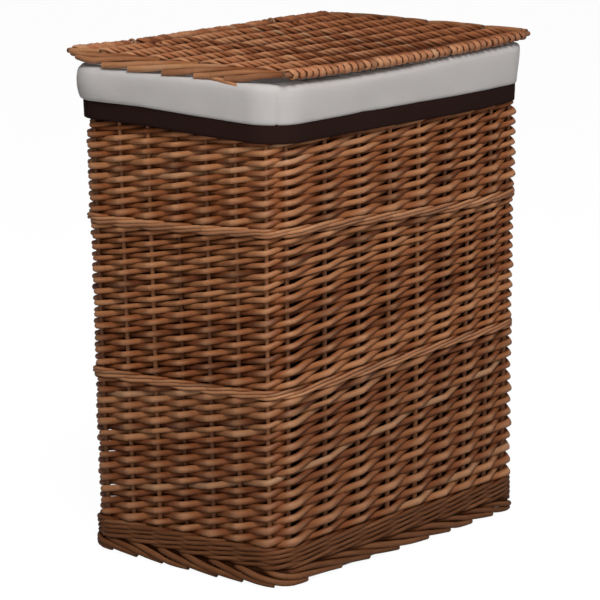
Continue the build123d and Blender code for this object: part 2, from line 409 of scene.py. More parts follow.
def smooth_line(knots: Sequence[Vector], parts: int) -> list[Vector]:
    """A smooth line through points.

    Args:
        knots: The points.
        parts: The stretches between each point and the next.

    Returns:
        The line's points.
    """
    line = []
    last = len(knots) - 1
    for i in range(last):
        before, here = knots[max(i - 1, 0)], knots[i]
        ahead, after = knots[i + 1], knots[min(i + 2, last)]
        slope, next_slope = (ahead - before) * 0.5, (after - here) * 0.5
        for part in range(parts):
            t = part / parts
            line.append(
                here * (2 * t ** 3 - 3 * t * t + 1)
                + slope * (t ** 3 - 2 * t * t + t)
                + ahead * (3 * t * t - 2 * t ** 3)
                + next_slope * (t ** 3 - t * t)
            )
    line.append(knots[-1])
    return line


def next_ring(
    bm: bmesh.types.BMesh, edges: list[bmesh.types.BMEdge]
) -> tuple[list[bmesh.types.BMVert], list[bmesh.types.BMEdge]]:
    """Extrudes a ring of edges into the next ring, in the same place.

    Args:
        bm: The mesh in the making.
        edges: The ring's edges.

    Returns:
        The new ring's vertices and its edges.
    """
    made = bmesh.ops.extrude_edge_only(bm, edges=edges)["geom"]
    ring = [part for part in made if isinstance(part, bmesh.types.BMVert)]
    new = set(ring)
    sides = [part for part in made if isinstance(part, bmesh.types.BMEdge)]
    return ring, [edge for edge in sides if new.issuperset(edge.verts)]


class Pattern(Enum):
    """A wale's rod at three stakes, over and over: 1 in front and -1 behind, or how high it lies."""

    WALING = (1.0, 1.0, -1.0)
    WALE_CLIMB = (-0.7, 0.7, 0.1)

    def at(self, step: float, tightness: float = 0.55) -> float:
        """The weaver's place between in front and behind.

        Args:
            step: How many stakes it has passed, with fractions between them.
            tightness: How much a stroke bows out between two stakes that it passes alike.

        Returns:
            The place, about -1 to 1.
        """
        values = self.value
        before = math.floor(step)
        part = step - before
        count = len(values)
        here, ahead = values[before % count], values[(before + 1) % count]
        slope = (ahead - values[(before - 1) % count]) * 0.5 * tightness
        next_slope = (values[(before + 2) % count] - here) * 0.5 * tightness
        square, cube = part * part, part ** 3
        return (
            (2 * cube - 3 * square + 1) * here
            + (cube - 2 * square + part) * slope
            + (3 * square - 2 * cube) * ahead
            + (cube - square) * next_slope
        )

    @staticmethod
    def bent(step: float, sharpness: float = 0.97) -> float:
        """The same for stiff rods over and under sticks: straight between them and bent at them."""
        return -math.asin(sharpness * math.cos(math.pi * step)) / math.asin(sharpness)

    @staticmethod
    def stroke(step: float, emerge: float = 1.08, retreat: float = 0.95) -> float:
        """The same for rods drawn tight round stakes, by how soon they come out and go in again."""
        part = step % 2.0
        if part < 1.0:
            return 2 * part ** emerge - 1
        return 1 - 2 * (part - 1) ** retreat

    @staticmethod
    def slant(step: float) -> float:
        """How high a drawn rod lies on its way: lowest in front of a stake, highest behind the next."""
        part = step % 2.0
        return 1 - 2 * part if part < 1.0 else 2 * part - 3


@dataclass
class Wall:
    """The leaning wall as its middle line at every height, with the stakes that stand in it.

    Distances along the wall start at the left end of the front and run counter-clockwise seen from above.
    A station counts stakes the same way, with fractions between them.
    """

    foot_length: float = 428 * MM
    foot_depth: float = 270 * MM
    foot_corner: float = 27 * MM
    thickness: float = 11.5 * MM
    rim_height: float = 540 * MM
    rim_growth: float = 8 * MM
    long_side_stakes: int = 7
    short_side_stakes: int = 5
    corner_stake_turn: float = math.radians(29)
    front_drift: float = 26 * MM
    stake_radius: float = 2.7 * MM
    foot_shift: float = 4.0 * MM
    rim_shift: float = -1.2 * MM

    def __post_init__(self) -> None:
        """Works out the corners, the stakes' feet and where each stands at the foot and at the rim."""
        self.arc_x = self.foot_length / 2 - self.foot_corner
        self.arc_y = self.foot_depth / 2 - self.foot_corner
        self.arc_radius = self.foot_corner - self.thickness / 2
        self.wall_x = (self.foot_length - self.thickness) / 2
        self.wall_y = (self.foot_depth - self.thickness) / 2
        self.runs = (2 * self.arc_x, 2 * self.arc_y) * 2
        self.corner_run = self.arc_radius * math.pi / 2
        self.round = sum(self.runs) + 4 * self.corner_run
        feet = self._stake_feet()
        self.foot_lines = sorted(self.locate(x, y) for x, y in feet)
        fan_x = 1 + self.rim_growth / self.wall_x
        fan_y = 1 + self.rim_growth / self.wall_y
        self.rim_lines = sorted(self.locate(x * fan_x, y * fan_y) for x, y in feet)
        self.stakes = len(feet)

    def _stake_feet(self) -> list[tuple[float, float]]:
        """Where the stakes stand at the floor."""
        near = math.radians(45) - self.corner_stake_turn
        far = math.radians(45) + self.corner_stake_turn
        reach_x = self.arc_x + self.arc_radius * math.cos(far)
        reach_y = self.arc_y + self.arc_radius * math.sin(near)
        corner_x = self.arc_x + self.arc_radius * math.cos(near)
        corner_y = self.arc_y + self.arc_radius * math.sin(far)
        step_x = 2 * reach_x / (self.long_side_stakes + 1)
        step_y = 2 * reach_y / (self.short_side_stakes + 1)
        xs = [step_x * (i + 1) - reach_x for i in range(self.long_side_stakes)]
        ys = [step_y * (i + 1) - reach_y for i in range(self.short_side_stakes)]
        feet = [(x + self.front_drift * (1 - (x / reach_x) ** 2), -self.wall_y) for x in xs]
        feet += [(x, self.wall_y) for x in xs]
        feet += [(side * self.wall_x, y) for side in (-1, 1) for y in ys]
        for side_x in (-1, 1):
            for side_y in (-1, 1):
                feet += [(side_x * reach_x, side_y * corner_y), (side_x * corner_x, side_y * reach_y)]
        return feet

    def shift(self, z: Any) -> Any:
        """How far along X the whole basket has leant at a height."""
        return self.foot_shift + (self.rim_shift - self.foot_shift) * z / self.rim_height

    def arc(self, z: float) -> float:
        """The corner radius of the middle line at a height."""
        return self.arc_radius + self.rim_growth * z / self.rim_height

    def place(self, distance: float, z: float, out: float) -> Vector:
        """A point of the wall.

        Args:
            distance: How far along the wall it is.
            z: Its height.
            out: How far outside the wall's middle line it is.

        Returns:
            The point.
        """
        left = distance % self.round
        corners = ((-1, -1), (1, -1), (1, 1), (-1, 1))
        reach = self.arc(z) + out
        lean = Vector((self.shift(z), 0, 0))
        for side in range(4):
            ahead = Vector((math.cos(side * math.pi / 2), math.sin(side * math.pi / 2), 0))
            outward = Vector((ahead.y, -ahead.x, 0))
            run = self.runs[side]
            if left <= run:
                sign_x, sign_y = corners[side]
                start = Vector((sign_x * self.arc_x, sign_y * self.arc_y, z))
                return start + lean + ahead * left + outward * reach
            left -= run
            if left <= self.corner_run or side == 3:
                sign_x, sign_y = corners[(side + 1) % 4]
                centre = Vector((sign_x * self.arc_x, sign_y * self.arc_y, z))
                turn = left / self.arc_radius
                return centre + lean + (outward * math.cos(turn) + ahead * math.sin(turn)) * reach
            left -= self.corner_run
        raise ValueError("a distance past the wall's end")

    def locate(self, x: float, y: float) -> float:
        """The distance along the wall of a point near it, seen from above."""
        starts = [0.0]
        for run in self.runs:
            starts.append(starts[-1] + run + self.corner_run)
        if abs(x) <= self.arc_x:
            return x + self.arc_x if y < 0 else starts[2] + self.arc_x - x
        if abs(y) <= self.arc_y:
            return starts[1] + y + self.arc_y if x > 0 else starts[3] + self.arc_y - y
        side = {(True, False): 0, (True, True): 1, (False, True): 2, (False, False): 3}[(x > 0, y > 0)]
        turn = math.atan2(abs(y) - self.arc_y, abs(x) - self.arc_x)
        if side in (0, 2):
            turn = math.pi / 2 - turn
        return starts[side] + self.runs[side] + turn * self.arc_radius

    def line(self, stake: int, z: float) -> float:
        """The distance along the wall of a stake at a height; stakes past the last go round again."""
        rounds, index = divmod(stake, self.stakes)
        foot, rim = self.foot_lines[index], self.rim_lines[index]
        return foot + (rim - foot) * z / self.rim_height + rounds * self.round

    def station(self, station: float, z: float) -> float:
        """The distance along the wall of a station at a height."""
        before = math.floor(station)
        here = self.line(before, z)
        return here + (self.line(before + 1, z) - here) * (station - before)

    def depth(self, points: np.ndarray) -> np.ndarray:
        """How far outside the wall's middle line each point is."""
        level_x = points[:, 0] - self.shift(points[:, 2])
        past = np.stack([np.abs(level_x) - self.arc_x, np.abs(points[:, 1]) - self.arc_y], axis=1)
        outside = np.linalg.norm(np.maximum(past, 0), axis=1) + np.minimum(past.max(axis=1), 0)
        return outside - self.arc_radius - self.rim_growth * points[:, 2] / self.rim_height


@dataclass
class Sway:
    """How far the courses of weaving stray from level on their way round, as on any basket made by hand.

    Corners, middles and widths are stations.
    """

    wall: Wall
    heights: tuple[float, ...] = (0.0, 26 * MM, 212 * MM, 373 * MM, 505 * MM)
    lower_sway: float = 9 * MM
    lower_top_station: float = 7.5
    upper_lift: float = 12 * MM
    upper_dip: float = 5 * MM
    bottom_lift: float = 4 * MM
    foot_lift: float = 3 * MM
    foot_flare: float = 4.5 * MM
    foot_width: float = 3.0
    near_lift: float = 3.2 * MM
    near_foot: float = 0.3
    near_foot_width: float = 1.2
    near_corner: float = 31.5
    far_corner: float = 23.5
    left_middle: float = 28.0
    front_middle: float = 3.5
    wide: float = 4.0

    def at(self, station: float, z: float) -> float:
        """The height of a course that is nominally at z, at a station."""
        turn = 2 * math.pi * (station - self.lower_top_station) / self.wall.stakes
        near = self._bump(station, self.near_corner, self.wide)
        dip = self._bump(station, self.front_middle, self.wide)
        foot = self.foot_lift * self._bump(station, self.far_corner, self.foot_width)
        foot += self.near_lift * self._bump(station, self.near_foot, self.near_foot_width)
        strays = (
            foot,
            self.bottom_lift * near,
            self.lower_sway * math.cos(turn),
            self.upper_lift * near - self.upper_dip * dip,
            0.0,
        )
        return z + float(np.interp(z, self.heights, strays))

    def flare(self, station: float) -> float:
        """How far the foot stands out of the rest of the border, most in the middle of the left side."""
        return self.foot_flare * self._bump(station, self.left_middle, self.foot_width)

    def _bump(self, station: float, middle: float, width: float) -> float:
        """A soft bump round a station, the same on every round."""
        half = self.wall.stakes / 2
        off = (station - middle + half) % self.wall.stakes - half
        return math.exp(-((off / width) ** 2))


@dataclass
class Rod:
    """One rod: the points of its middle line, its radius at each, and how dark its stain took.

    Where flats are given, the rod is squeezed at each point by that much, across its upright direction.
    """

    points: list[Vector]
    radii: list[float]
    tone: float
    upright: Vector
    flats: Optional[list[float]] = None

    def loft(self, sides: int, start_grain: float) -> bmesh.types.BMesh:
        """Makes the rod as a closed tube by extruding a ring along it.

        Args:
            sides: The corners of its section.
            start_grain: Where its grain starts, so that no two rods share one.

        Returns:
            A new bmesh, with the attributes that the finish reads.
        """
        bm = bmesh.new()
        tone = bm.verts.layers.float.new("tone")
        grain = bm.verts.layers.float_vector.new("grain")
        ring = bmesh.ops.create_circle(bm, cap_ends=True, segments=sides, radius=1.0)["verts"]
        edges = bm.edges[:]
        caps = bm.faces[:]
        for vert in ring:
            vert[tone] = self.tone
            vert[grain] = Vector((vert.co.x * self.radii[0], vert.co.y * self.radii[0], start_grain))
        sharp = list(edges)
        along = start_grain
        frames = [self._frame(i) for i in range(len(self.points))]
        bmesh.ops.transform(bm, matrix=frames[0], verts=ring)
        for i in range(1, len(frames)):
            ring, edges = next_ring(bm, edges)
            bmesh.ops.transform(bm, matrix=frames[i] @ frames[i - 1].inverted(), verts=ring)
            along += (self.points[i] - self.points[i - 1]).length
            for vert in ring:
                vert[grain].z = along
        caps += bmesh.ops.edgeloop_fill(bm, edges=edges)["faces"]
        sharp += edges
        bmesh.ops.recalc_face_normals(bm, faces=bm.faces[:])
        for face in bm.faces:
            face.smooth = face not in caps
            face.material_index = 1 if face in caps else 0
        for edge in sharp:
            edge.smooth = False
        return bm

    def _frame(self, i: int) -> Matrix:
        """The place, direction and size of the rod's section at one of its points."""
        last = len(self.points) - 1
        ahead = (self.points[min(i + 1, last)] - self.points[max(i - 1, 0)]).normalized()
        across = self.upright.cross(ahead).normalized()
        upward = ahead.cross(across)
        turn = Matrix((across, upward, ahead)).transposed().to_4x4()
        radius = self.radii[i]
        flat = self.flats[i] if self.flats else 1.0
        size = Matrix.Diagonal((radius * flat, radius, radius, 1.0))
        return Matrix.Translation(self.points[i]) @ turn @ size


class Bundle:
    """Rods that make up one piece, each with its own tone and its own stretch of grain."""

    sides = 9
    grain_range = 40
    usual_tone = 0.50
    tone_spread = 0.21
    odd_share = 0.12
    odd_tones = (-0.24, 0.26)
    tone_limits = (0.05, 0.98)

    def __init__(self, name: str, seed: int) -> None:
        """Starts an empty bundle with its own seeded chance."""
        self.name = name
        self.chance = random.Random(seed)
        self.rods: list[Rod] = []

    def tone(self) -> float:
        """How a rod's stain took: most alike, a few much paler or darker."""
        tone = self.chance.gauss(self.usual_tone, self.tone_spread)
        if self.chance.random() < self.odd_share:
            tone += self.chance.choice(self.odd_tones)
        darkest, palest = self.tone_limits
        return min(max(tone, darkest), palest)

    def add(
        self, points: list[Vector], radii: list[float], upright: Vector = UP,
        flats: Optional[list[float]] = None,
    ) -> None:
        """Adds a rod along points, with a tone of its own."""
        self.rods.append(Rod(points, radii, self.tone(), upright, flats))

    def build(self, finish: WillowFinish, proud: Callable[[np.ndarray], np.ndarray]) -> bpy.types.Object:
        """Makes the piece's object.

        Args:
            finish: The finish of its rods.
            proud: Gives how far each point stands out of the weave, 1 where it is rubbed most; the lowest
                values take the painted shade of the recesses.

        Returns:
            The object, linked to the scene.
        """
        whole = bmesh.new()
        step = bpy.data.meshes.new("step")
        for rod in self.rods:
            made = rod.loft(self.sides, self.chance.uniform(0, self.grain_range))
            made.to_mesh(step)
            made.free()
            whole.from_mesh(step)
        bpy.data.meshes.remove(step)
        mesh = bpy.data.meshes.new(self.name + "_rods")
        whole.to_mesh(mesh)
        whole.free()
        points = np.empty(len(mesh.vertices) * 3, dtype=np.float32)
        mesh.vertices.foreach_get("co", points)
        values = proud(points.reshape(-1, 3)).astype(np.float32)
        mesh.attributes.new("proud", "FLOAT", "POINT").data.foreach_set("value", values)
        mesh.materials.append(finished(finish))
        mesh.materials.append(finished(CutEndFinish()))
        piece = placed(mesh.name, mesh)
        return piece


@dataclass
class Walls:
    """The woven walls: stakes, three bands of randing, wales, and the borders at the foot and the rim.

    Drifts are how far a rod strays up and out. Foot turns are a border rod's stations, counted from its
    stake, and its heights and distances out in millimetres.
    """

    wall: Wall
    sway: Sway
    samples: int = 5
    proud_reach: float = 10 * MM
    stake_low: float = 16 * MM
    stake_high: float = 521 * MM
    stake_steps: int = 24
    stake_taper: float = 0.14
    stake_bend: float = 0.7 * MM
    rounds: int = 13
    bends: tuple[float, ...] = (0.0, 0.08, 0.3, 0.52, 0.74, 0.92)
    slant: float = 0.1 * MM
    pull: float = 0.9
    rod_spread: float = 0.075
    rod_bows: tuple[float, float] = (0.94, 1.07)
    rod_drift: tuple[float, float] = (1.0 * MM, 0.4 * MM)
    tuck: float = 5.0 * MM
    tuck_above: float = 470 * MM
    tuck_run: float = 8 * MM
    wale_start: int = 19
    wale_taper: float = 0.25
    wale_out: float = 1.4 * MM
    wale_drift: tuple[float, float] = (0.7 * MM, 0.3 * MM)
    foot_radii: tuple[float, float] = (3.1, 3.6)
    foot_turns: tuple[Place, ...] = (
        (-2.2, 8.0, -2.0), (-1.2, 11.6, -2.0), (-0.32, 14.2, -1.5), (-0.04, 15.0, 3.0),
        (0.4, 13.6, 6.6), (1.0, 9.6, 7.6), (1.6, 5.8, 7.6), (2.25, 3.4, 6.6),
    )
    flare_at: float = 9.0
    rim_start: int = 18
    rim_strands: int = 6
    rim_turn: float = 4.0
    rim_level: float = 525.2 * MM
    rim_reach: float = 5.6 * MM
    rim_radius: float = 3.7 * MM
    rim_inset: float = 3.5 * MM

    def proud(self, points: np.ndarray) -> np.ndarray:
        """How far each point stands out of the wall, 1 at the face of the weave."""
        return self.wall.depth(points) / self.proud_reach

    def path(self, bundle: Bundle, course: Sequence[tuple[float, float, float, float]]) -> None:
        """Adds a rod along stations, nominal heights, distances out of the wall's middle and radii."""
        points = []
        for station, z, out, _ in course:
            height = self.sway.at(station, z)
            points.append(self.wall.place(self.wall.station(station, height), height, out))
        bundle.add(points, [radius for *_, radius in course])

    def stake_groups(self) -> dict[str, list[int]]:
        """The stakes of each side in turn, and last the pairs at the corners between them."""
        names = ("front_stakes", "right_stakes", "back_stakes", "left_stakes")
        counts = (self.wall.long_side_stakes, self.wall.short_side_stakes) * 2
        groups, corners, first = {}, [], 0
        for name, count in zip(names, counts):
            groups[name] = list(range(first, first + count))
            corners += [first + count, first + count + 1]
            first += count + 2
        return {**groups, "corner_stakes": corners}

    def stakes(self) -> None:
        """The upright rods, one piece for each side and one for the corner pairs."""
        shares = [step / self.stake_steps for step in range(self.stake_steps + 1)]
        for seed, (name, stakes) in enumerate(self.stake_groups().items()):
            bundle = Bundle(name, 500 + seed)
            for stake in stakes:
                shift = bundle.chance.uniform(0, 50)
                points = []
                for share in shares:
                    z = self.stake_low + (self.stake_high - self.stake_low) * share
                    bend = noise.noise_vector(Vector((shift, z * 9, 0))) * self.stake_bend
                    line = self.wall.line(stake, z) + bend.x
                    points.append(self.wall.place(line, z, bend.y))
                thick = self.wall.stake_radius * bundle.chance.uniform(0.92, 1.06)
                bundle.add(points, [thick * (1 - self.stake_taper * share) for share in shares], ALONG)
            settle(bundle.build(STAKE_WILLOW, self.proud), "basket", name)

    def randing(
        self, name: str, low: float, high: float, rods: tuple[float, float], seed: int,
        finish: WillowFinish = WILLOW,
    ) -> None:
        """A band in which a rod starts at every stake and climbs, in front of one and behind the next.

        Args:
            name: The piece, and the solid that it stands for.
            low: The height at which the rods start.
            high: The height at which they end.
            rods: The rods' radii at the butt and at the tip.
            seed: The band's own chance.
            finish: The rods' finish.
        """
        butt, tip = rods
        drift_up, drift_out = self.rod_drift
        bundle = Bundle(name, seed)
        strokes = 2 * self.rounds
        total = strokes * (butt + tip) / 2
        for stake in range(self.wall.stakes):
            thick = bundle.chance.gauss(1.0, self.rod_spread)
            shift = bundle.chance.uniform(0, 90)
            bow = bundle.chance.uniform(*self.rod_bows)
            course = []
            for step in self._steps(strokes):
                radius = (butt + (tip - butt) * step / strokes) * thick
                climb = (butt * step + (tip - butt) * step * step / (2 * strokes)) / total
                drift = noise.noise_vector(Vector((shift, step * 0.6, 0)))
                slant = Pattern.slant(step) * min(step, strokes - step, 1.0)
                z = low + (high - low) * climb + slant * self.slant + drift.x * drift_up
                reach = (self.wall.stake_radius + radius) * self.pull * bow
                under_hem = share_of(z, self.tuck_above, self.tuck_run)
                out = Pattern.stroke(step) * reach + drift.y * drift_out - self.tuck * under_hem
                course.append((stake + step, z, out, radius))
            self.path(bundle, course)
        settle(bundle.build(finish, self.proud), "basket", name)

    def _steps(self, strokes: int) -> list[float]:
        """Where a rod's points lie, counted in stakes: close together at each stake, where it bends."""
        return [stroke + bend for stroke in range(strokes) for bend in self.bends] + [float(strokes)]

    def wale(
        self, name: str, rows: Sequence[float], radius: float, climb: float, seed: int,
        finish: WillowFinish = WILLOW,
    ) -> None:
        """Rows of three rods that pass in front of two stakes and behind one, twined like rope.

        Args:
            name: The piece, and the solid that it stands for.
            rows: The rows' heights.
            radius: The rods' radius at the butt.
            climb: How far a stroke rises over the others.
            seed: The wale's own chance.
            finish: The rods' finish.
        """
        drift_up, drift_out = self.wale_drift
        bundle = Bundle(name, seed)
        length = self.wall.stakes + 2
        for row, level in enumerate(rows):
            for rod in range(3):
                shift = bundle.chance.uniform(0, 90)
                thick = bundle.chance.uniform(0.9, 1.1) * radius
                course = []
                for i in range(length * self.samples + 1):
                    step = i / self.samples
                    drift = noise.noise_vector(Vector((shift, step * 0.5, 0)))
                    now = thick * (1 - self.wale_taper * step / length)
                    reach = Pattern.WALING.at(step) * (self.wall.stake_radius + now)
                    out = reach + self.wale_out + drift.y * drift_out
                    z = level + Pattern.WALE_CLIMB.at(step) * climb + drift.x * drift_up
                    course.append((self.wale_start + row + rod + step, z, out, now))
                self.path(bundle, course)
        settle(bundle.build(finish, self.proud), "basket", name)

    def foot_border(self) -> None:
        """The border underneath: rods that come out beside a stake, slant down past two and end low."""
        bundle = Bundle("foot_border", 31)
        for stake in range(self.wall.stakes):
            radius = bundle.chance.uniform(*self.foot_radii)
            knots = []
            for station, z, out in self.foot_turns:
                lift = max(z + bundle.chance.uniform(-0.8, 0.8), radius + 0.1)
                reach = out + bundle.chance.uniform(-0.6, 0.6)
                flare = self.sway.flare(stake + station) * max(out, 0.0) / self.flare_at
                around = stake + station + bundle.chance.uniform(-0.06, 0.06)
                knots.append(Vector((around, lift * MM, reach * MM + flare)))
            self.path(bundle, [(*knot, radius * MM) for knot in smooth_line(knots, 4)])
        settle(bundle.build(SHADED_FOOT_WILLOW, self.proud), "basket", "foot_border")

    def rim_border(self) -> None:
        """The border at the rim, under the liner: rods laid round each other like a rope."""
        bundle = Bundle("rim_border", 41)
        for strand in range(self.rim_strands):
            course = []
            for i in range((self.wall.stakes + 1) * self.samples + 1):
                step = i / self.samples
                angle = 2 * math.pi * (step / self.rim_turn + strand / self.rim_strands)
                out = self.rim_reach * math.cos(angle) - self.rim_inset
                z = self.rim_level + self.rim_reach * math.sin(angle)
                course.append((self.rim_start + step, z, out, self.rim_radius))
            self.path(bundle, course)
        settle(bundle.build(WILLOW, self.proud), "basket", "rim_border")

    def build(self) -> None:
        """Makes every piece of the walls."""
        bottom_rows = (21 * MM, 26.5 * MM, 32 * MM, 37 * MM)
        self.stakes()
        self.foot_border()
        self.wale("bottom_wale", bottom_rows, 2.6 * MM, 2.4 * MM, 11, SHADED_FOOT_WILLOW)
        self.randing("lower_weave", 39 * MM, 209 * MM, (3.95 * MM, 3.4 * MM), 101, SHADED_LOWER_WILLOW)
        self.wale("lower_wale", (210.5 * MM, 214 * MM), 2.1 * MM, 2.6 * MM, 12)
        self.randing("middle_weave", 216 * MM, 370 * MM, (3.35 * MM, 2.8 * MM), 102)
        self.wale("upper_wale", (371.5 * MM, 375 * MM), 2.1 * MM, 2.6 * MM, 13)
        self.randing("upper_weave", 377 * MM, 522 * MM, (3.55 * MM, 2.9 * MM), 103)
        self.rim_border()


@dataclass
class SquareWork:
    """A flat panel of sticks along X, with weavers over and under them that turn round the outer two.

    Pressed is how flat a weaver is where it turns, spread how much it widens for that, and dent how much of
    that flatness it has at the inner sticks.
    """

    name: str
    sticks: list[float]
    level: float
    half_length: float
    weavers: int
    weaver_radius: float
    outer_radius: float
    inner_radius: float
    seed: int
    gaps: tuple[float, ...] = ()
    gap_half_width: float = 6.6 * MM
    tail: float = 13 * MM
    pressed: float = 0.42
    spread: float = 1.4
    dent: float = 0.08
    drift: float = 2.0 * MM
    drift_up: float = 0.4
    turn_steps: int = 6
    bends: tuple[float, ...] = (0.0, 0.08, 0.3, 0.5, 0.7, 0.92)

    def weaver_lines(self, warp: Callable[[Vector], Vector]) -> Bundle:
        """The weavers: each comes forward, turns round the front stick and goes back beside itself.

        Args:
            warp: Moves each point with the panel's own bends.

        Returns:
            The bundle of weavers.
        """
        bundle = Bundle(self.name, self.seed)
        pitch = 2 * self.half_length / self.weavers
        for pair in range(self.weavers // 2):
            start = -self.half_length + pitch * (2 * pair + 0.5) + bundle.chance.gauss(0, 0.6) * MM
            radius = self.weaver_radius * bundle.chance.uniform(0.9, 1.1)
            forward = self._pass(radius, 1, self._at_gap(start))
            backward = self._pass(radius, -1, self._at_gap(start + pitch))
            course = forward[::-1] + self._turn(radius) + backward
            stray = bundle.chance.uniform(0, 90)
            points = []
            for share, y, z, _ in course:
                drift = noise.noise_vector(Vector((stray + share * 7, y * 14, z * 12))) * self.drift
                x = start + share * pitch + drift.x
                points.append(warp(Vector((x, y, self.level + z + drift.z * self.drift_up))))
            flats = [flat for *_, flat in course]
            bundle.add(points, [self._half_width(radius, flat) for flat in flats], ALONG, flats)
        return bundle

    def _at_gap(self, x: float) -> bool:
        """Whether a place along X is where a hinge leaves a gap in the weave."""
        return any(abs(x - gap) < self.gap_half_width for gap in self.gaps)

    def _half_width(self, radius: float, flat: float) -> float:
        """Half the width of a weaver where it is pressed flat."""
        return radius * (1 + (1 - flat) * self.spread)

    def _turn(self, radius: float) -> list[tuple[float, float, float, float]]:
        """A weaver's way round the outside of the front stick, from over it to under it."""
        reach, turn = self._over(0, radius), []
        for k in range(1, self.turn_steps):
            angle = math.pi * k / self.turn_steps
            place = self.sticks[0] - reach * math.sin(angle)
            turn.append((k / self.turn_steps, place, reach * math.cos(angle), self.pressed))
        return turn

    def _pass(self, radius: float, side: int, short: bool) -> list[tuple[float, float, float, float]]:
        """A weaver's way from the front stick to the back, and round the back stick.

        Args:
            radius: The weaver's radius.
            side: 1 if it starts over the front stick, -1 if it starts under it.
            short: Whether it stops before the back stick.

        Returns:
            Which of the weaver's two passes it is, places along Y, heights over the panel's middle and how
            flat it is pressed.
        """
        share = 0.0 if side > 0 else 1.0
        last = len(self.sticks) - 1
        course = []
        for stick in range(last):
            here, ahead = self.sticks[stick], self.sticks[stick + 1]
            for t in self.bends:
                step = stick + t
                reach = self._over(stick, radius) * (1 - t) + self._over(stick + 1, radius) * t
                height = -side * Pattern.bent(step)
                near_end = max(1 - step, 1 - (last - step), 0.0)
                flat = 1 - (1 - self.pressed) * max(near_end, self.dent * abs(height)) ** 0.7
                course.append((share, here + (ahead - here) * t, height * reach, flat))
        if short:
            return course[: -len(self.bends)]
        back, reach = self.sticks[-1], self._over(last, radius)
        ends_over = side * (1 if last % 2 == 0 else -1)
        for k in range(self.turn_steps + 1):
            angle = math.pi * k / self.turn_steps
            height = ends_over * reach * math.cos(angle)
            course.append((share, back + reach * math.sin(angle), height, self.pressed))
        course.append((share, back - self.tail * 0.6, -ends_over * reach * 0.7, self.pressed))
        course.append((share, back - self.tail, 0.0, self.pressed))
        return course

    def _over(self, stick: int, radius: float) -> float:
        """How far a weaver's middle stands from a stick's middle where it passes."""
        if stick in (0, len(self.sticks) - 1):
            return self.outer_radius + self._half_width(radius, self.pressed) * self.pressed
        return self.inner_radius + radius


